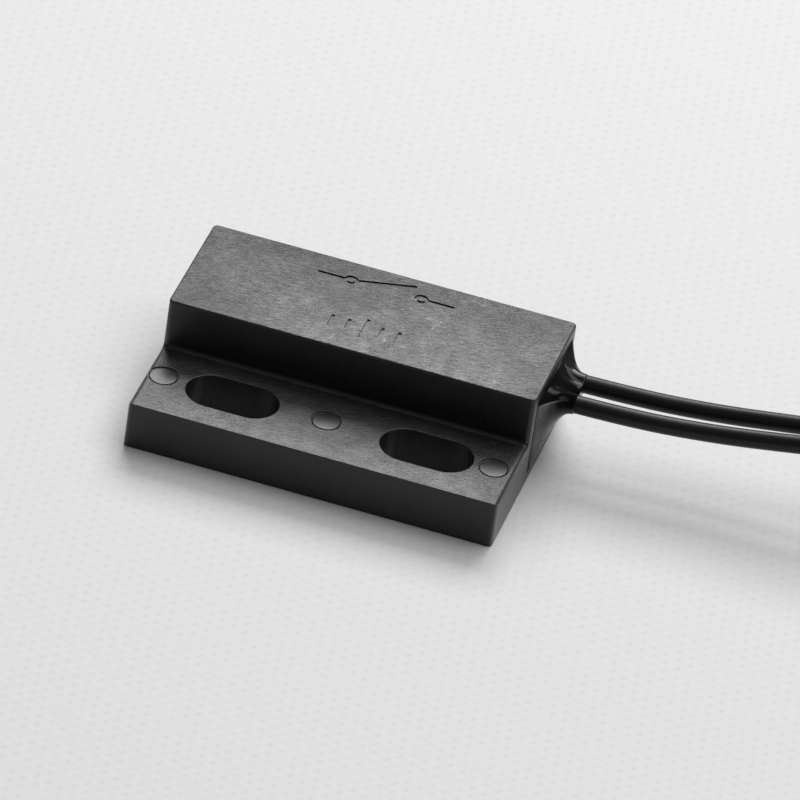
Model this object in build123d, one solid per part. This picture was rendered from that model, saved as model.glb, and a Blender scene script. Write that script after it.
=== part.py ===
from build123d import *
import os
from math import tan, radians, degrees, pi, sqrt

# Switch half of a flange-mount magnetic door contact: a moulded housing with a raised block along
# its back and a slotted mounting flange in front, a reed switch potted inside the block, and two
# stranded leads that leave the open end. Millimetres. Origin at the centre of the housing's base,
# +X along the length towards the leads, +Y from the flange to the block, +Z up.

# ---- housing ----
LENGTH = 28.6
WIDTH = 19.6
HEIGHT = 7.9
BLOCK_WIDTH = 11.3
FLANGE_THICK = 3.85
CORNER_R = 0.4              # upright corners
EDGE_R = 0.15               # edges of the block's top face
BASE_EDGE_R = 0.08
STEP_R = 0.3                # inside corner between the block and the flange
WALL = 0.9                  # wall and roof round the cavity
END_WALL = 1.1              # closed end of the cavity
CAVITY_R = 0.3

# ---- mounting slots, in a line along X ----
SLOT_SPACING = 15.1
SLOT_LENGTH = 7.05
SLOT_WIDTH = 4.1
SLOT_Y = -5.5
SLOT_EDGE_R = 0.12

# ---- witness marks of the three ejector pins, on the flange ----
EJECTOR_D = 2.4
EJECTOR_PLACES = [(-13.0, -5.3), (-0.3, -5.3), (12.7, -5.4)]
EJECTOR_RING = 0.14         # width of the moulded ring round each mark
EJECTOR_RING_DEPTH = 0.08
EJECTOR_SINK = 0.04

# ---- engraved marking on the block: an open contact symbol and a row of centring ticks ----
MARK_DEPTH = 0.1
MARK_STROKE = 0.26
SYMBOL_Y = 7.4
SYMBOL_LENGTH = 10.6
SYMBOL_DOT_R = 0.55
SYMBOL_GAP = 4.4            # between the two terminals
SYMBOL_RISE = 1.25          # free end of the open arm above the line
TICKS_Y = 1.7
TICK_SPACING = 1.3
TICK_COUNT = 5
TICK_LONG = 2.6
TICK_SHORT = 1.4

# ---- leads ----
LEAD_D = 1.4
CONDUCTOR_D = 0.61
STRIP_LENGTH = 6.0          # tinned far end
LEAD_A_START = -9.4         # insulation ends inside the potting
LEAD_B_START = 11.6
LEAD_A_ROUTE = [(12.0, 3.25, 5.35), (19.5, 3.25, 5.35), (26.5, 3.92, 5.5), (33.0, 4.2, 6.4),
                (38.2, 5.2, 6.8), (43.0, 6.9, 5.0), (47.8, 8.3, 2.55), (52.5, 8.3, 2.55)]
LEAD_B_ROUTE = [(12.0, 5.55, 5.65), (19.5, 5.55, 5.65), (26.3, 6.3, 5.7), (32.8, 6.65, 6.5),
                (39.5, 7.5, 7.0), (46.3, 8.3, 5.45), (52.5, 8.3, 5.45)]

# ---- the put-away length: two coils on one axis, bound by one tie ----
COIL_X = 58.5
COIL_Y = -1.45
COIL_R = 9.75               # outermost turn, centre line
COIL_TURNS = 5.0
COIL_SLACK = 0.05           # the wound turns' shape stands this far outside them
COIL_TAIL = 5.4             # insulation past the last turn
TIE_THICK = 0.4
TIE_WIDTH = 2.4

# ---- reed switch ----
REED_Y = 7.2
REED_Z = 3.6
GLASS_LENGTH = 14.0
GLASS_D = 2.2
GLASS_BORE = 1.64
SEAL_X = 5.0                # flex axis of each blade, just inside its glass seal
SEAL_CLEAR = 0.05           # from the rounded root to the seal
REED_WIRE_D = 0.5
REED_WIRE_END = 11.2
BLADE_THICK = 0.2
BLADE_WIDTH = 1.3
BLADE_OVERLAP = 0.5
CONTACT_THICK = 0.03
CONTACT_LENGTH = 0.8
CONTACT_WIDTH = 1.1
CONTACT_GAP = 0.06
ROOT_GAP = 0.01             # clearance round the flexing root
SLEEVE_WALL = 0.4
SLEEVE_LENGTH = 12.0
SOLDER_R = 0.7
SOLDER_LENGTH = 2.2
SOLDER_X = 10.2

# ---- potting ----
TIP_LENGTH = 2.1            # how far it climbs the leads past the rim
TIP_MARGIN = 0.22
TIP_CURVE = 1.35
TIP_SECTIONS = 5

block_front = WIDTH / 2 - BLOCK_WIDTH
cavity_width = BLOCK_WIDTH - 2 * WALL
cavity_height = HEIGHT - 2 * WALL
cavity_y = block_front + BLOCK_WIDTH / 2
cavity_z = HEIGHT / 2
blade_lift = CONTACT_GAP / 2 + CONTACT_THICK + BLADE_THICK / 2
lap_y = REED_Y - (REED_WIRE_D + CONDUCTOR_D) / 2


def rod(x0, x1, y, z, r):
    """A round bar along X."""
    return Pos((x0 + x1) / 2, y, z) * Rot(0, 90, 0) * Cylinder(r, x1 - x0)


def arc_radii(points):
    """Each corner's radius: 0.45 of the shorter run beside it over the tangent of half the turn."""
    spots = [Vector(*p) for p in points]
    radii = []
    for before, here, after in zip(spots, spots[1:], spots[2:]):
        turn = (here - before).get_angle(after - here)
        run = min((here - before).length, (after - here).length)
        radii.append(0.45 * run / tan(radians(turn / 2)))
    return radii


def wire_along(points, diameter):
    """A round wire swept along straight runs joined by tangent arcs, and its centre line."""
    path = FilletPolyline(*points, radius=arc_radii(points))
    section = Plane(origin=path @ 0, z_dir=path % 0) * Circle(diameter / 2)
    return sweep(section, path=path), path


def make_housing():
    flange = Pos(0, 0, FLANGE_THICK / 2) * Box(LENGTH, WIDTH, FLANGE_THICK)
    block = Pos(0, cavity_y, HEIGHT / 2) * Box(LENGTH, BLOCK_WIDTH, HEIGHT)
    body = flange + block
    step = body.edges().filter_by(Axis.X).filter_by_position(Axis.Z, FLANGE_THICK - 0.01, FLANGE_THICK + 0.01)
    body = fillet(step.sort_by(Axis.Y)[-1:], STEP_R)
    body = fillet(body.edges().filter_by(Axis.Z), CORNER_R)
    top_edges = body.faces().sort_by(Axis.Z)[-1].edges()
    body = fillet(top_edges, EDGE_R)
    base_edges = body.faces().sort_by(Axis.Z)[0].edges()
    body = fillet(base_edges, BASE_EDGE_R)
    cavity_length = LENGTH - END_WALL
    cavity = Pos(END_WALL / 2, cavity_y, cavity_z) * Box(cavity_length + 1, cavity_width, cavity_height)
    cavity = Pos(0.5, 0, 0) * fillet(cavity.edges().filter_by(Axis.X), CAVITY_R)
    body -= cavity
    body -= slots()
    body = fillet(slot_top_edges(body), SLOT_EDGE_R)
    body -= ejector_marks()
    body -= engraving()
    return body


def slots():
    """The two through slots."""
    cuts = []
    for side in (-1, 1):
        outline = SlotOverall(SLOT_LENGTH, SLOT_WIDTH)
        cuts.append(Pos(side * SLOT_SPACING / 2, SLOT_Y, -1) * extrude(outline, FLANGE_THICK + 2))
    return cuts


def slot_top_edges(body):
    """The slots' edges in the flange's top face."""
    level = body.edges().filter_by_position(Axis.Z, FLANGE_THICK - 0.01, FLANGE_THICK + 0.01)
    nearby = SLOT_WIDTH / 2 + 0.01
    return [e for e in level if abs(e.center().Y - SLOT_Y) < nearby and e.length < SLOT_SPACING]


def ejector_marks():
    marks = []
    for x, y in EJECTOR_PLACES:
        disc = Circle(EJECTOR_D / 2)
        ring = disc - Circle(EJECTOR_D / 2 - EJECTOR_RING)
        marks.append(Pos(x, y, FLANGE_THICK - EJECTOR_SINK) * extrude(disc, 1))
        marks.append(Pos(x, y, FLANGE_THICK - EJECTOR_RING_DEPTH) * extrude(ring, 1))
    return marks


def engraving():
    """Grooves in the block's top face."""
    strokes = Sketch()
    half = SYMBOL_LENGTH / 2
    gap = SYMBOL_GAP / 2
    for side in (-1, 1):
        terminal = Circle(SYMBOL_DOT_R) - Circle(SYMBOL_DOT_R - MARK_STROKE)
        strokes += Pos(side * (gap + SYMBOL_DOT_R), SYMBOL_Y) * terminal
        wire = half - gap - 2 * SYMBOL_DOT_R
        strokes += Pos(side * (half - wire / 2), SYMBOL_Y) * Rectangle(wire + MARK_STROKE / 2, MARK_STROKE)
    arm_angle = degrees(SYMBOL_RISE / (2 * gap))
    arm = Pos(gap, 0) * Rectangle(2 * gap, MARK_STROKE)
    strokes += Pos(-gap, SYMBOL_Y + MARK_STROKE / 2) * Rot(0, 0, arm_angle) * arm
    for i in range(TICK_COUNT):
        offset = i - (TICK_COUNT - 1) / 2
        tall = TICK_LONG if offset == 0 else TICK_SHORT
        strokes += Pos(offset * TICK_SPACING, TICKS_Y) * Rectangle(MARK_STROKE, tall)
    return Pos(0, 0, HEIGHT - MARK_DEPTH) * extrude(strokes, 1)


def potting_fill():
    """Epoxy that fills the cavity up to the rim, before its contents are cut."""
    x0 = -LENGTH / 2 + END_WALL
    fill = Pos((x0 + LENGTH / 2) / 2, cavity_y, cavity_z) * Box(LENGTH / 2 - x0, cavity_width, cavity_height)
    return fillet(fill.edges().filter_by(Axis.X), CAVITY_R)


def potting_cone():
    """The epoxy's free surface past the rim, where it climbs the leads."""
    first, second = LEAD_A_ROUTE[0], LEAD_B_ROUTE[0]
    tip_y, tip_z = (first[1] + second[1]) / 2, (first[2] + second[2]) / 2
    tip_height = LEAD_D + 2 * TIP_MARGIN
    tip_width = second[1] - first[1] + tip_height
    sections = []
    for i in range(TIP_SECTIONS):
        s = i / (TIP_SECTIONS - 1)
        open_share = (1 - s) ** TIP_CURVE
        y = tip_y + (cavity_y - tip_y) * open_share
        z = tip_z + (cavity_z - tip_z) * open_share
        width = tip_width + (cavity_width - tip_width) * open_share
        height = tip_height + (cavity_height - tip_height) * open_share
        corner = tip_height * 0.49 + (CAVITY_R - tip_height * 0.49) * open_share
        plane = Plane(origin=(LENGTH / 2 + TIP_LENGTH * s, y, z), x_dir=(0, 1, 0), z_dir=(1, 0, 0))
        sections.append(plane * RectangleRounded(width, height, corner))
    return loft(sections, ruled=True)


def make_glass():
    tube = rod(-GLASS_LENGTH / 2, GLASS_LENGTH / 2, REED_Y, REED_Z, GLASS_D / 2)
    tube = fillet(tube.edges(), GLASS_D * 0.3)
    seal = SEAL_X + BLADE_THICK / 2 + SEAL_CLEAR
    tube -= rod(-seal, seal, REED_Y, REED_Z, GLASS_BORE / 2)
    for side in (-1, 1):
        tube -= reed_wire(side)
    return tube


def make_glass_sleeve():
    sleeve = rod(-SLEEVE_LENGTH / 2, SLEEVE_LENGTH / 2, REED_Y, REED_Z, GLASS_D / 2 + SLEEVE_WALL)
    return sleeve - rod(-SLEEVE_LENGTH, SLEEVE_LENGTH, REED_Y, REED_Z, GLASS_D / 2)


def reed_wire(side):
    """The round wire through one glass seal; its inner end stops clear of the flexing root."""
    inner = SEAL_X + BLADE_THICK / 2 + ROOT_GAP
    return rod(*sorted((side * inner, side * REED_WIRE_END)), REED_Y, REED_Z, REED_WIRE_D / 2)


def make_blade(side):
    """One flexing half of the strip: flat, with its root rounded about the flex axis."""
    length = SEAL_X + BLADE_OVERLAP / 2
    z = REED_Z + side * blade_lift
    blade = Pos(side * (SEAL_X - length / 2), REED_Y, z) * Box(length, BLADE_WIDTH, BLADE_THICK)
    root = Pos(side * SEAL_X, REED_Y, z) * Rot(90, 0, 0) * Cylinder(BLADE_THICK / 2, BLADE_WIDTH)
    return blade + root


def make_contact(side):
    """The plated patch on the blade's face, towards the other blade."""
    x = side * (CONTACT_LENGTH / 2 - BLADE_OVERLAP / 2)
    z = REED_Z + side * (CONTACT_GAP / 2 + CONTACT_THICK / 2)
    return Pos(x, REED_Y, z) * Box(CONTACT_LENGTH, CONTACT_WIDTH, CONTACT_THICK)


def conductor_route(side):
    """The stripped end runs from the insulation to a lap beside the reed's wire."""
    start, route = (LEAD_A_START, LEAD_A_ROUTE) if side < 0 else (LEAD_B_START, LEAD_B_ROUTE)
    y, z = route[0][1:]
    if side < 0:
        return [(start, y, z), (start - 1.7, y, z), (start - 2.6, lap_y, REED_Z), (start + 0.2, lap_y, REED_Z)]
    return [(start, y, z), (start - 0.6, y, z), (start - 1.5, lap_y, REED_Z), (start - 2.6, lap_y, REED_Z)]


def make_conductor(side):
    points = conductor_route(side)
    spots = [Vector(*p) for p in points]
    runs = [(b - a).length for a, b in zip(spots, spots[1:])]
    radii = [min(a, b) * 0.4 for a, b in zip(runs, runs[1:])]
    path = FilletPolyline(*points, radius=radii)
    section = Plane(origin=path @ 0, z_dir=path % 0) * Circle(CONDUCTOR_D / 2)
    return sweep(section, path=path)


def make_solder(side, inside):
    """A fillet of solder round the lap, cut by what it holds."""
    x = side * SOLDER_X
    y = (REED_Y + lap_y) / 2
    joint = rod(x - SOLDER_LENGTH / 2, x + SOLDER_LENGTH / 2, y, REED_Z, SOLDER_R)
    joint = fillet(joint.edges(), SOLDER_R * 0.6)
    for piece in inside:
        joint -= piece
    return joint


def make_lead(start, route):
    """The insulated lead: straight in the potting, then its free stretch to the coil."""
    free, path = wire_along(route, LEAD_D)
    inner = rod(start, route[0][0], *route[0][1:], LEAD_D / 2)
    return inner + free, path


def coil_inner_r():
    return COIL_R - LEAD_D * COIL_TURNS / 2


def coil_height():
    return 2 * (LEAD_D + COIL_SLACK)


def make_coil(route):
    """The outer shape of one lead's coil: two layers of turns, its way in and its tail."""
    x, y, z = route[-1]
    ring_width = COIL_R - coil_inner_r() + LEAD_D + 2 * COIL_SLACK
    middle = (COIL_R + coil_inner_r()) / 2
    outline = RectangleRounded(ring_width, coil_height(), LEAD_D * 0.4)
    section = Plane.XZ * Pos(middle, z - LEAD_D / 2) * outline
    ring = Pos(COIL_X, COIL_Y, 0) * revolve(section, axis=Axis.Z)
    way_in = rod(x, COIL_X, y, z, LEAD_D / 2)
    tail = rod(COIL_X, COIL_X + COIL_TAIL, y, z - LEAD_D, LEAD_D / 2)
    return ring + way_in + tail


def make_tinned_end(route):
    y, z = route[-1][1:]
    x = COIL_X + COIL_TAIL
    tip = rod(x, x + STRIP_LENGTH, y, z - LEAD_D, CONDUCTOR_D / 2)
    return fillet(tip.faces().sort_by(Axis.X)[-1].edges(), CONDUCTOR_D * 0.3)


def make_tie():
    """A flat band round both coils, on the side away from the housing."""
    half = TIE_WIDTH / 2
    inner = sqrt((coil_inner_r() - LEAD_D / 2 - COIL_SLACK) ** 2 - half ** 2) - COIL_SLACK
    outer = COIL_R + LEAD_D / 2 + 2 * COIL_SLACK
    height = 2 * coil_height()
    middle = Pos(COIL_X + (inner + outer) / 2, COIL_Y, TIE_THICK + height / 2)
    core = Box(outer - inner, TIE_WIDTH, height)
    band = Box(outer - inner + 2 * TIE_THICK, TIE_WIDTH, height + 2 * TIE_THICK)
    band = fillet(band.edges().filter_by(Axis.Y), TIE_THICK * 0.9)
    return middle * (band - core)


def lead_length(route, path):
    """From the rim to the tip of the tinned end."""
    free = path.length - (LENGTH / 2 - route[0][0]) + (COIL_X - route[-1][0])
    coil = pi * (COIL_R + coil_inner_r()) * COIL_TURNS
    return free + coil + COIL_TAIL + STRIP_LENGTH


def make_all():
    parts = {"housing": make_housing(), "reed_glass": make_glass(), "glass_sleeve": make_glass_sleeve()}
    tubes = []
    for name, side, start, route in (("a", -1, LEAD_A_START, LEAD_A_ROUTE), ("b", 1, LEAD_B_START, LEAD_B_ROUTE)):
        wire = reed_wire(side)
        conductor = make_conductor(side)
        lead, path = make_lead(start, route)
        parts[f"reed_{name}_wire"] = wire
        parts[f"reed_{name}_blade"] = make_blade(side)
        parts[f"reed_{name}_contact"] = make_contact(side)
        parts[f"lead_{name}_conductor"] = conductor
        parts[f"solder_joint_{name}"] = make_solder(side, [wire, conductor, parts["reed_glass"]])
        parts[f"lead_{name}_insulation"] = lead
        parts[f"lead_{name}_coil"] = make_coil(route)
        parts[f"lead_{name}_tinned_end"] = make_tinned_end(route)
        tubes.append((name, start, route, path, lead))
    parts["coil_tie"] = make_tie()
    potting = potting_fill()
    buried = ["reed_glass", "glass_sleeve"]
    for name in "ab":
        buried += [f"reed_{name}_wire", f"lead_{name}_conductor", f"solder_joint_{name}", f"lead_{name}_insulation"]
    glass_space = rod(-GLASS_LENGTH / 2, GLASS_LENGTH / 2, REED_Y, REED_Z, GLASS_D / 2 - 0.2)
    potting -= glass_space
    for node in buried:
        potting -= parts[node]
    parts["potting_compound"] = potting
    parts["potting_meniscus"] = potting_cone() - parts["lead_a_insulation"] - parts["lead_b_insulation"]
    return parts, tubes


parts, tubes = make_all()
for name, start, route, path, lead in tubes:
    section = pi * LEAD_D ** 2 / 4
    expected = section * (path.length + route[0][0] - start)
    print(f"lead {name}: radii {[round(r, 1) for r in arc_radii(route)]} mm, volume {lead.volume:.2f}",
          f"against {expected:.2f} mm3, whole length {lead_length(route, path):.1f} mm")
os.makedirs("parts", exist_ok=True)
for node, solid in parts.items():
    export_step(solid, f"parts/{node}.step")
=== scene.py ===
import math

import bmesh
import bpy
from mathutils import Matrix, Vector


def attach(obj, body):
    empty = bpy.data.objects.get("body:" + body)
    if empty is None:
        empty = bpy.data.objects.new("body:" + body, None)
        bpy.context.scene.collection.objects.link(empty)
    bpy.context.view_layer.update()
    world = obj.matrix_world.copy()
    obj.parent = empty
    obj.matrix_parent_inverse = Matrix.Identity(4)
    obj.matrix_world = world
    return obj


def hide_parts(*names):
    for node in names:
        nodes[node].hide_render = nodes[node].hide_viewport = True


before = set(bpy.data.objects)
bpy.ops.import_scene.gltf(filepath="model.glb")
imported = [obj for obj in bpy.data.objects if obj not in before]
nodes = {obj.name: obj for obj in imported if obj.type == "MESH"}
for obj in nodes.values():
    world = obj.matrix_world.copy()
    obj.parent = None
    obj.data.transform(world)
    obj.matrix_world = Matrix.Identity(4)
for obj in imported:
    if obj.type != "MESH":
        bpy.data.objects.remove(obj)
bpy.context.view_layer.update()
MM = 0.001

# ---- camera ----
AZIMUTH = math.radians(11.76)
ELEVATION = math.radians(34.56)
ROLL = math.radians(8.71)
DISTANCE = 0.6978
AIM = Vector((0.00275, 0.00527, 0.0))
LENS = 419.4


def make_camera():
    toward_eye = Vector((math.sin(AZIMUTH) * math.cos(ELEVATION), -math.cos(AZIMUTH) * math.cos(ELEVATION),
                         math.sin(ELEVATION)))
    data = bpy.data.cameras.new("camera")
    data.lens = LENS
    data.sensor_width = 36
    data.clip_start = 0.01
    data.clip_end = 20
    camera = bpy.data.objects.new("camera", data)
    level = (-toward_eye).to_track_quat("-Z", "Y").to_matrix()
    turn = (level @ Matrix.Rotation(ROLL, 3, "Z")).to_4x4()
    camera.matrix_world = Matrix.Translation(AIM + toward_eye * DISTANCE) @ turn
    bpy.context.scene.collection.objects.link(camera)
    bpy.context.scene.camera = camera


# ---- leads: the same points as the part's routes, then the wound turns ----
LEAD_D = 1.4 * MM
LEAD_A_ROUTE = [(12.0, 3.13, 5.35), (19.5, 3.13, 5.35), (26.5, 3.85, 5.5), (33.0, 4.2, 6.4),
                (38.2, 5.2, 6.8), (43.0, 6.9, 5.0), (47.8, 8.3, 2.55), (52.5, 8.3, 2.55)]
LEAD_B_ROUTE = [(12.0, 5.55, 5.65), (19.5, 5.55, 5.65), (26.3, 6.3, 5.7), (32.8, 6.65, 6.5),
                (39.5, 7.5, 7.0), (46.3, 8.3, 5.45), (52.5, 8.3, 5.45)]
COIL_CENTRE = Vector((58.5, -1.45, 0)) * MM
COIL_TURNS = 5
STEPS_PER_TURN = 16
TAIL = 5.4 * MM
STEP_DOWN_TURNS = 0.25      # how much of a turn the lead takes to sink to the lower layer


def coil_points(start, centre, pitch):
    """Turns wound inwards on the upper layer, then outwards on the lower one."""
    outer = start.y - centre.y
    count = COIL_TURNS * STEPS_PER_TURN
    middle = COIL_TURNS / 2
    points = []
    for i in range(1, count + 1):
        turns = i / STEPS_PER_TURN
        angle = math.pi / 2 - 2 * math.pi * turns
        radius = outer - pitch * min(turns, COIL_TURNS - turns)
        sunk = min(max((turns - middle) / STEP_DOWN_TURNS + 0.5, 0), 1)
        x = centre.x + radius * math.cos(angle)
        y = centre.y + radius * math.sin(angle)
        points.append((x, y, start.z - pitch * sunk))
    return points


def make_lead(name, route):
    points = [Vector(p) * MM for p in route]
    centre = COIL_CENTRE
    points.append(Vector((centre.x, points[-1].y, points[-1].z)))
    points += [Vector(p) for p in coil_points(points[-1], centre, LEAD_D)]
    end = points[-1] + Vector((TAIL, 0, 0))
    points.append(end)
    curve = bpy.data.curves.new(f"lead_{name}", "CURVE")
    curve.dimensions = "3D"
    spline = curve.splines.new("NURBS")
    spline.points.add(len(points) - 1)
    for spot, p in zip(spline.points, points):
        spot.co = (*p, 1)
        spot.radius = LEAD_D / 2
    spline.order_u = 3
    spline.use_endpoint_u = True
    curve.resolution_u = 12
    curve.bevel_depth = 1
    curve.bevel_resolution = 8
    curve.use_fill_caps = True
    lead = bpy.data.objects.new(f"lead_{name}", curve)
    bpy.context.scene.collection.objects.link(lead)
    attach(lead, "root")
    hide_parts(f"lead_{name}_insulation", f"lead_{name}_coil")
    return lead


make_camera()
leads = [make_lead("a", LEAD_A_ROUTE), make_lead("b", LEAD_B_ROUTE)]


# ---- material helpers ----
class Shader:
    """A node material with one Principled surface and short calls for the nodes that feed it."""

    def __init__(self, name, base, roughness, **fixed):
        self.material = bpy.data.materials.new(name)
        self.material.use_nodes = True
        self.tree = self.material.node_tree
        self.surface = self.tree.nodes["Principled BSDF"]
        self.surface.inputs["Base Color"].default_value = (*base, 1)
        self.surface.inputs["Roughness"].default_value = roughness
        for socket, value in fixed.items():
            self.surface.inputs[socket.replace("_", " ")].default_value = value
        self.place = self.node("ShaderNodeTexCoord").outputs["Object"]

    def node(self, kind, **settings):
        made = self.tree.nodes.new(kind)
        for key, value in settings.items():
            setattr(made, key, value)
        return made

    def feed(self, socket, value):
        if isinstance(value, bpy.types.NodeSocket):
            self.tree.links.new(value, socket)
        else:
            socket.default_value = value

    def math(self, operation, a, b=0.0, clamp=False):
        made = self.node("ShaderNodeMath", operation=operation, use_clamp=clamp)
        self.feed(made.inputs[0], a)
        self.feed(made.inputs[1], b)
        return made.outputs[0]

    def turned(self, degrees=(0, 0, 0), stretch=(1, 1, 1)):
        """The object's coordinates in millimetres, turned and then stretched."""
        turn = self.node("ShaderNodeMapping")
        self.feed(turn.inputs["Vector"], self.place)
        turn.inputs["Rotation"].default_value = [math.radians(d) for d in degrees]
        size = self.node("ShaderNodeVectorMath", operation="MULTIPLY")
        self.feed(size.inputs[0], turn.outputs[0])
        size.inputs[1].default_value = [s / MM for s in stretch]
        return size.outputs[0]

    def axis(self, index):
        """One of the object's coordinates, in millimetres."""
        parts = self.node("ShaderNodeSeparateXYZ")
        self.feed(parts.inputs[0], self.turned())
        return parts.outputs[index]

    def facing(self, index):
        """How far the surface faces along one axis, without its bumps."""
        parts = self.node("ShaderNodeSeparateXYZ")
        self.feed(parts.inputs[0], self.node("ShaderNodeNewGeometry").outputs["True Normal"])
        return parts.outputs[index]

    def distance_from(self, x, y):
        """Distance in millimetres from an upright line."""
        dx = self.math("SUBTRACT", self.axis(0), x)
        dy = self.math("SUBTRACT", self.axis(1), y)
        square = self.math("ADD", self.math("MULTIPLY", dx, dx), self.math("MULTIPLY", dy, dy))
        return self.math("SQRT", square)

    def total(self, *values):
        result = values[0]
        for value in values[1:]:
            result = self.math("ADD", result, value)
        return result

    def scaled(self, value, factor):
        return self.math("MULTIPLY", value, factor)

    def noise(self, scale, detail=3, roughness=0.5, where=None, distortion=0):
        """Noise whose grain is about 1/scale millimetres."""
        made = self.node("ShaderNodeTexNoise")
        self.feed(made.inputs["Vector"], where or self.turned())
        made.inputs["Scale"].default_value = scale
        made.inputs["Detail"].default_value = detail
        made.inputs["Roughness"].default_value = roughness
        made.inputs["Distortion"].default_value = distortion
        return made.outputs["Fac"]

    def between(self, value, low, high, to_low=0.0, to_high=1.0):
        made = self.node("ShaderNodeMapRange", clamp=True)
        self.feed(made.inputs["Value"], value)
        made.inputs["From Min"].default_value = low
        made.inputs["From Max"].default_value = high
        made.inputs["To Min"].default_value = to_low
        made.inputs["To Max"].default_value = to_high
        return made.outputs["Result"]

    def tint(self, factor, dark, light):
        made = self.node("ShaderNodeMix", data_type="RGBA")
        self.feed(made.inputs["Factor"], factor)
        made.inputs["A"].default_value = (*dark, 1)
        made.inputs["B"].default_value = (*light, 1)
        self.feed(self.surface.inputs["Base Color"], made.outputs["Result"])

    def rough(self, value):
        self.feed(self.surface.inputs["Roughness"], value)

    def bump(self, height, distance_mm, strength=1.0):
        made = self.node("ShaderNodeBump")
        made.inputs["Strength"].default_value = strength
        made.inputs["Distance"].default_value = distance_mm * MM
        self.feed(made.inputs["Height"], height)
        if self.surface.inputs["Normal"].is_linked:
            self.feed(made.inputs["Normal"], self.surface.inputs["Normal"].links[0].from_socket)
        self.feed(self.surface.inputs["Normal"], made.outputs["Normal"])


EJECTOR_PLACES = [(-13.0, -5.3), (-0.3, -5.3), (12.7, -5.4)]
EJECTOR_D = 2.4
DOME = 0.052                # how strongly an ejector mark is domed
SMUDGES = [(-11.8, -0.4, 5.5, 0.3), (13.6, -0.9, 3.0, 0.3)]     # x, y, radius, loss of shine


def rubbed(m, directions, across, along):
    """Many short fine scratches, in several directions."""
    streaks = 0.0
    for angle, gain in directions:
        fine = m.noise(1.0, 2, 0.5, m.turned((0, 0, angle), (along, across, 1.0)))
        streaks = m.math("ADD", streaks, m.scaled(m.between(fine, 0.5, 0.75), gain))
    return streaks


def long_scratches(m, directions, width):
    """A few long thin lines: where a stretched noise crosses its middle value."""
    lines = 0.0
    for angle, offset in directions:
        field = m.noise(0.22, 1, 0.4, m.turned((0, 0, angle), (0.5, 3.0, 1.0)))
        ridge = m.between(m.math("ABSOLUTE", m.math("SUBTRACT", field, offset)), 0.0, width, 1.0, 0.0)
        patch = m.between(m.noise(0.28, 2, 0.5, m.turned((0, 0, angle + 20))), 0.5, 0.62)
        lines = m.math("ADD", lines, m.math("MULTIPLY", ridge, patch))
    return lines


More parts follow.
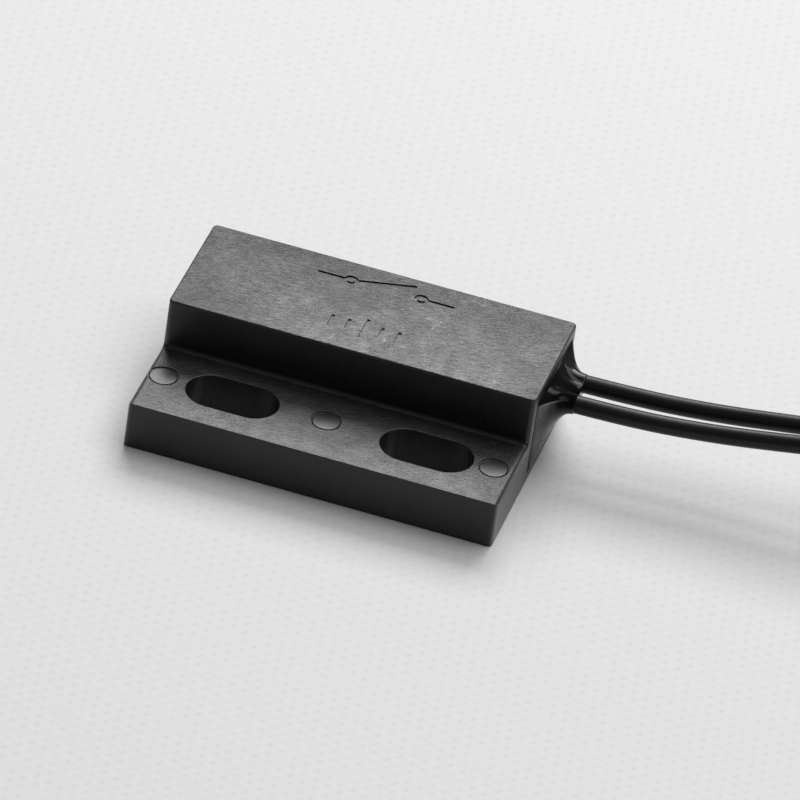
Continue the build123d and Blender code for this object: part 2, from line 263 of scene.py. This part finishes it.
def moulded_plastic():
    """Black moulded housing: rubbed top with painted sheen rising towards its front, swirled flange,
    glossier ejector marks, streaked end with painted shade on its back half.
    """
    m = Shader("moulded_plastic", (0.006, 0.006, 0.0062), 0.4, IOR=1.53)
    up = m.between(m.facing(2), 0.6, 0.9)
    end = m.between(m.facing(0), 0.6, 0.9)
    block = m.between(m.axis(2), 6.0, 6.5)
    on_top = m.math("MULTIPLY", up, block)
    on_flange = m.math("SUBTRACT", up, on_top)
    disc = 0.0
    dish = 0.0
    for x, y in EJECTOR_PLACES:
        away = m.distance_from(x, y)
        rim = EJECTOR_D / 2 - 0.1
        inside = m.math("MULTIPLY", m.between(away, rim - 0.1, rim, 1.0, 0.0), on_flange)
        disc = m.math("ADD", disc, inside)
        bowl = m.scaled(m.math("MULTIPLY", away, away), -DOME)
        dish = m.math("ADD", dish, m.math("MULTIPLY", inside, bowl))
    plain = m.math("SUBTRACT", 1.0, disc)
    fine = rubbed(m, ((-17, 1.1), (-12, 0.9), (-25, 0.6), (48, 0.4), (-62, 0.4)), 11.0, 1.1)
    lines = long_scratches(m, ((-25, 0.5), (-48, 0.46), (30, 0.53)), 0.006)
    lines = m.math("MULTIPLY", lines, m.between(m.axis(0), -5.0, 3.0, 0.2, 1.0))
    swirl = m.noise(1.0, 3, 0.55, m.turned((0, 0, 8), (1.2, 4.0, 1.0)), 1.2)
    grain = m.noise(7.0, 4, 0.65)
    streaks = m.noise(1.0, 3, 0.6, m.turned((0, 0, 0), (1.0, 5.0, 0.5)))
    wear = m.noise(0.3, 4, 0.6)
    top_height = m.total(m.scaled(fine, 0.7), m.scaled(lines, 0.3))
    flange_height = m.total(m.scaled(swirl, 2.2), m.scaled(fine, 0.55))
    height = m.total(
        m.math("MULTIPLY", on_top, top_height),
        m.math("MULTIPLY", m.math("MULTIPLY", on_flange, plain), flange_height),
        m.math("MULTIPLY", end, m.scaled(streaks, 2.0)),
        m.math("MULTIPLY", plain, m.scaled(grain, 0.8)))
    m.bump(height, 0.016)
    m.bump(dish, 1.0)
    dull = m.total(
        m.between(wear, 0.3, 0.7, 0.33, 0.41),
        m.math("MULTIPLY", on_top, m.scaled(fine, 0.04)),
        m.scaled(on_flange, 0.07),
        m.scaled(disc, -0.04))
    m.rough(dull)
    smudge = 1.0
    for x, y, radius, loss in SMUDGES:
        spot = m.between(m.distance_from(x, y), radius * 0.3, radius, 1 - loss, 1.0)
        smudge = m.math("MULTIPLY", smudge, spot)
    # Painted sheen: the top reflects more strongly towards the front and right, standing in for how the
    # light falls across it. The patches, long scratches and smudges multiplied in are the top's own wear.
    forward = m.math("SUBTRACT", m.axis(1), m.scaled(m.axis(0), 0.1))
    painted_sheen_slope = m.between(forward, 9.5, -2.0, 0.37, 0.68)
    patches = m.between(m.noise(0.45, 4, 0.65), 0.3, 0.7, 0.76, 1.24)
    wear_and_painted_sheen = m.math("MULTIPLY", painted_sheen_slope, m.total(patches, m.scaled(lines, 1.4)))
    wear_and_painted_sheen = m.math("MULTIPLY", wear_and_painted_sheen, smudge)
    # Painted shade and sheen on the end face: it reflects more strongly near its front and much less on
    # its back half, where the epoxy shades it.
    front_painted_sheen = m.between(m.axis(1), -9.0, -3.0, 0.83, 1.0)
    back_painted_shade = m.between(m.axis(1), -2.6, -0.6, 1.25, 0.42)
    end_painted_sheen = m.math("MULTIPLY", front_painted_sheen, back_painted_shade)
    up_shine = m.between(m.noise(0.5, 4, 0.65), 0.3, 0.7, 0.08, 0.5)
    elsewhere = m.total(0.42, m.math("MULTIPLY", end, end_painted_sheen), m.math("MULTIPLY", up, up_shine))
    shine = m.math(
        "ADD",
        m.math("MULTIPLY", on_top, wear_and_painted_sheen),
        m.math("MULTIPLY", m.math("SUBTRACT", 1.0, on_top), elsewhere))
    m.feed(m.surface.inputs["Specular IOR Level"], shine)
    top_pale = m.total(m.scaled(fine, 0.3), m.scaled(lines, 0.9))
    pale = m.total(
        m.math("MULTIPLY", on_top, top_pale),
        m.math("MULTIPLY", on_flange, m.scaled(fine, 0.25)))
    m.tint(pale,
           (0.0085, 0.0085, 0.0087), (0.035, 0.035, 0.0355))
    return m.material


def glossy_epoxy():
    m = Shader("glossy_epoxy", (0.004, 0.004, 0.0042), 0.14, IOR=1.55)
    # Painted shade: the epoxy's reflection is nearly cut on its upward-facing front surfaces and lowered
    # on its upward-facing back ones, painting a dark patch and removing glints there.
    front = m.between(m.facing(2), -0.12, 0.12, 0.36, 0.03)
    back = m.between(m.facing(2), 0.1, 0.4, 0.36, 0.24)
    backness = m.between(m.axis(1), 3.8, 5.4)
    shine = m.total(
        m.math("MULTIPLY", front, m.math("SUBTRACT", 1.0, backness)),
        m.math("MULTIPLY", back, backness))
    m.feed(m.surface.inputs["Specular IOR Level"], shine)
    m.rough(m.between(m.noise(1.2, 3), 0.35, 0.7, 0.14, 0.26))
    m.bump(m.noise(0.8, 2, 0.4), 0.06)
    m.bump(m.noise(6.0, 3, 0.5), 0.004)
    m.tint(m.noise(1.5, 2), (0.0035, 0.0035, 0.0036), (0.006, 0.006, 0.0062))
    return m.material


def glossy_vinyl():
    m = Shader("glossy_vinyl", (0.005, 0.005, 0.0052), 0.36, IOR=1.45, Specular_IOR_Level=0.34)
    m.rough(m.between(m.noise(1.8, 4, 0.6), 0.35, 0.7, 0.33, 0.42))
    m.bump(m.noise(5.0, 3, 0.5), 0.006)
    m.tint(m.noise(0.7, 2), (0.005, 0.005, 0.0052), (0.009, 0.009, 0.0092))
    return m.material


def plain_metal(name, colour, roughness):
    m = Shader(name, colour, roughness, Metallic=1.0)
    lines = m.noise(2.0, 3, 0.5, m.turned((0, 0, 0), (0.4, 14, 14)))
    m.bump(lines, 0.01)
    m.rough(m.between(lines, 0.3, 0.7, roughness * 0.8, roughness * 1.3))
    m.tint(m.noise(1.5, 3), [c * 0.85 for c in colour], colour)
    return m.material


def tinted_glass():
    m = Shader("tinted_glass", (0.62, 0.85, 0.68), 0.03, IOR=1.5, Transmission_Weight=1.0)
    m.rough(m.between(m.noise(0.8, 2), 0.4, 0.7, 0.02, 0.06))
    m.bump(m.noise(0.8, 2), 0.01)
    return m.material


def soft_silicone():
    m = Shader("soft_silicone", (0.7, 0.69, 0.65), 0.45, IOR=1.42)
    m.rough(m.between(m.noise(3, 3), 0.3, 0.7, 0.4, 0.55))
    m.bump(m.noise(4, 3), 0.01)
    m.tint(m.noise(1, 2), (0.62, 0.61, 0.57), (0.74, 0.73, 0.69))
    return m.material


def dull_tie():
    m = Shader("dull_tie", (0.02, 0.02, 0.021), 0.5, IOR=1.5)
    ribs = m.noise(1.0, 2, 0.5, m.turned((0, 0, 0), (3, 9, 3)))
    m.bump(ribs, 0.04)
    m.rough(m.between(ribs, 0.3, 0.7, 0.42, 0.6))
    m.tint(ribs, (0.015, 0.015, 0.016), (0.03, 0.03, 0.031))
    return m.material


def give(piece, material):
    piece.data.materials.clear()
    piece.data.materials.append(material)


def finish_materials():
    epoxy = glossy_epoxy()
    vinyl = glossy_vinyl()
    wire_metal = plain_metal("tinned_copper", (0.72, 0.71, 0.68), 0.28)
    reed_metal = plain_metal("nickel_iron", (0.6, 0.59, 0.56), 0.32)
    give(nodes["housing"], moulded_plastic())
    give(nodes["potting_compound"], epoxy)
    give(meniscus, epoxy)
    give(nodes["reed_glass"], tinted_glass())
    give(nodes["glass_sleeve"], soft_silicone())
    give(nodes["coil_tie"], dull_tie())
    solder = plain_metal("solder", (0.6, 0.6, 0.58), 0.4)
    plating = plain_metal("rhodium", (0.8, 0.8, 0.82), 0.12)
    for name, lead in zip("ab", leads):
        give(lead, vinyl)
        give(nodes[f"lead_{name}_tinned_end"], wire_metal)
        give(nodes[f"lead_{name}_conductor"], wire_metal)
        give(nodes[f"solder_joint_{name}"], solder)
        give(nodes[f"reed_{name}_wire"], reed_metal)
        give(nodes[f"reed_{name}_blade"], reed_metal)
        give(nodes[f"reed_{name}_contact"], plating)


# ---- the epoxy's free surface: from the rim it climbs the two leads in a hollow cone ----
RIM_X = 14.3
RIM_Y = (-0.6, 8.9)
RIM_Z = (0.9, 7.0)
LIP = 0.17                  # how far the epoxy laps over the rim
TIP_REACH = 2.05
HOLLOW_POWER = 2.2          # how hollow the climb is at the sides and below
STRAIGHT_POWER = 0.95       # and on the upper front, between these two directions, in degrees
STRAIGHT_FROM = 75
STRAIGHT_TO = 161
BULGE_DIRECTION = 152       # degrees round the leads
BULGE_SPREAD = 9
BULGE_CLIMB = 0.5
BULGE_LENGTH = 0.22
BULGE_HEIGHT = 0.3
FILM = 0.07                 # epoxy round each lead at the tip
RING_POINTS = 192
CLIMB_RINGS = 22


def reach_to_rim(angle, centre):
    """Distance from the centre to the cavity's outline."""
    reach = []
    sides = ((math.cos(angle), centre[0], RIM_Y), (math.sin(angle), centre[1], RIM_Z))
    for direction, spot, (low, high) in sides:
        if abs(direction) > 1e-6:
            reach.append(((high if direction > 0 else low) - spot) / direction)
    return min(reach)


def reach_to_leads(angle, centre, spots):
    """Distance from the centre to the outline of the two leads and the film on them."""
    radius = LEAD_D / MM / 2 + FILM
    best = radius * 0.8
    for y, z in spots:
        dy, dz = y - centre[0], z - centre[1]
        along = dy * math.cos(angle) + dz * math.sin(angle)
        aside = dy * math.sin(angle) - dz * math.cos(angle)
        if abs(aside) < radius:
            best = max(best, along + math.sqrt(radius * radius - aside * aside))
    return best


def climb_power(angle):
    """The hollow profile's power in one direction round the leads; sharp at the front corner."""
    degrees = math.degrees(angle)
    rising = min(max((degrees - STRAIGHT_FROM) / 90 + 0.5, 0), 1)
    falling = min(max((STRAIGHT_TO - degrees) / 12 + 0.5, 0), 1)
    return HOLLOW_POWER + (STRAIGHT_POWER - HOLLOW_POWER) * rising * falling


def bulge(angle, climbed):
    """A rounded lump where the epoxy gathered beside the front lead."""
    aside = (math.degrees(angle) - BULGE_DIRECTION) / BULGE_SPREAD
    along = (climbed - BULGE_CLIMB) / BULGE_LENGTH
    return BULGE_HEIGHT * math.exp(-aside * aside - along * along)


def make_meniscus():
    spots = [LEAD_A_ROUTE[0][1:], LEAD_B_ROUTE[0][1:]]
    centre = [sum(values) / 2 for values in zip(*spots)]
    profile = [(-0.3, 0.0, -0.02), (-0.03, 0.0, LIP), (0.03, 0.0, LIP * 0.5), (0.06, 0.0, 0.0)]
    for i in range(1, CLIMB_RINGS + 1):
        s = i / CLIMB_RINGS
        profile.append((0.06 + (TIP_REACH - 0.06) * s, s, 0.0))
    profile.append((TIP_REACH + 0.08, 1.0, -FILM - 0.04))
    form = bmesh.new()
    rings = []
    for x, climbed, extra in profile:
        ring = []
        middle = 4 * climbed * (1 - climbed)
        for k in range(RING_POINTS):
            angle = 2 * math.pi * k / RING_POINTS
            inner = reach_to_leads(angle, centre, spots)
            outer = reach_to_rim(angle, centre)
            lump = 0.05 * math.sin(3 * angle + 0.7) + 0.035 * math.sin(7 * angle + 2.0)
            share = (1 - climbed) ** climb_power(angle)
            reach = inner + (outer - inner) * share * (1 + lump * middle) + extra + bulge(angle, climbed)
            point = (RIM_X + x, centre[0] + reach * math.cos(angle), centre[1] + reach * math.sin(angle))
            ring.append(form.verts.new(Vector(point) * MM))
        rings.append(ring)
    for before, after in zip(rings, rings[1:]):
        for k in range(RING_POINTS):
            j = (k + 1) % RING_POINTS
            form.faces.new((before[k], before[j], after[j], after[k]))
    form.faces.new(rings[0])
    form.faces.new(rings[-1])
    bmesh.ops.recalc_face_normals(form, faces=form.faces)
    for face in form.faces:
        face.smooth = len(face.verts) == 4
    mesh = bpy.data.meshes.new("epoxy_meniscus")
    form.to_mesh(mesh)
    form.free()
    piece = bpy.data.objects.new("epoxy_meniscus", mesh)
    bpy.context.scene.collection.objects.link(piece)
    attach(piece, "root")
    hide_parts("potting_meniscus")
    return piece


# ---- floor and light ----
DIMPLE_PITCH = 1.05         # millimetres along a row of the embossed floor
DIMPLE_ROWS = 1.86          # two rows
DIMPLE_TURN = 20.0
FLOOR_HALF = 3.0            # metres
FLOOR_GAP = 0.02 * MM       # keeps the floor off the housing's own underside


def make_floor():
    mesh = bpy.data.meshes.new("floor")
    h = FLOOR_HALF
    corners = [(-h, -h, 0), (h, -h, 0), (h, h, 0), (-h, h, 0)]
    mesh.from_pydata(corners, [], [(0, 1, 2, 3)])
    floor = bpy.data.objects.new("floor", mesh)
    floor.location.z = -FLOOR_GAP
    bpy.context.scene.collection.objects.link(floor)
    m = Shader("pale_floor", (0.8, 0.8, 0.805), 0.75)
    parts = m.node("ShaderNodeSeparateXYZ")
    waves = (2 * math.pi / DIMPLE_PITCH, 2 * math.pi / DIMPLE_ROWS, 1)
    m.feed(parts.inputs[0], m.turned((0, 0, DIMPLE_TURN), waves))
    along, across = parts.outputs[0], parts.outputs[1]
    weave = m.total(
        m.math("COSINE", m.math("ADD", along, across)),
        m.math("COSINE", m.math("SUBTRACT", along, across)))
    dimple = m.between(weave, 0.3, 2.0)
    uneven = m.between(m.noise(0.5, 3), 0.3, 0.7, 0.3, 1.0)
    emboss = m.math("MULTIPLY", dimple, uneven)
    m.tint(emboss, (0.755, 0.756, 0.755), (0.71, 0.711, 0.71))
    m.bump(emboss, -0.02)
    m.bump(m.noise(3.0, 3), 0.01)
    give(floor, m.material)


def area_light(name, position, target, size, power):
    data = bpy.data.lights.new(name, "AREA")
    data.shape = "RECTANGLE"
    data.size, data.size_y = size
    data.energy = power
    light = bpy.data.objects.new(name, data)
    light.location = position
    light.rotation_euler = (Vector(target) - Vector(position)).to_track_quat("-Z", "Y").to_euler()
    bpy.context.scene.collection.objects.link(light)


def make_light():
    world = bpy.data.worlds.new("studio")
    bpy.context.scene.world = world
    world.use_nodes = True
    sky = world.node_tree.nodes["Background"]
    sky.inputs["Color"].default_value = (1, 1, 1, 1)
    sky.inputs["Strength"].default_value = 0.15
    area_light("softbox_behind", (-0.07, 0.61, 0.55), (0, 0, 0), (0.56, 0.41), 5.3)
    area_light("softbox_above", (0.25, 0.22, 0.8), (0, 0, 0), (0.8, 0.6), 3.7)
    view = bpy.context.scene.view_settings
    view.view_transform = "Standard"


meniscus = make_meniscus()
finish_materials()
make_floor()
make_light()
bpy.context.view_layer.update()
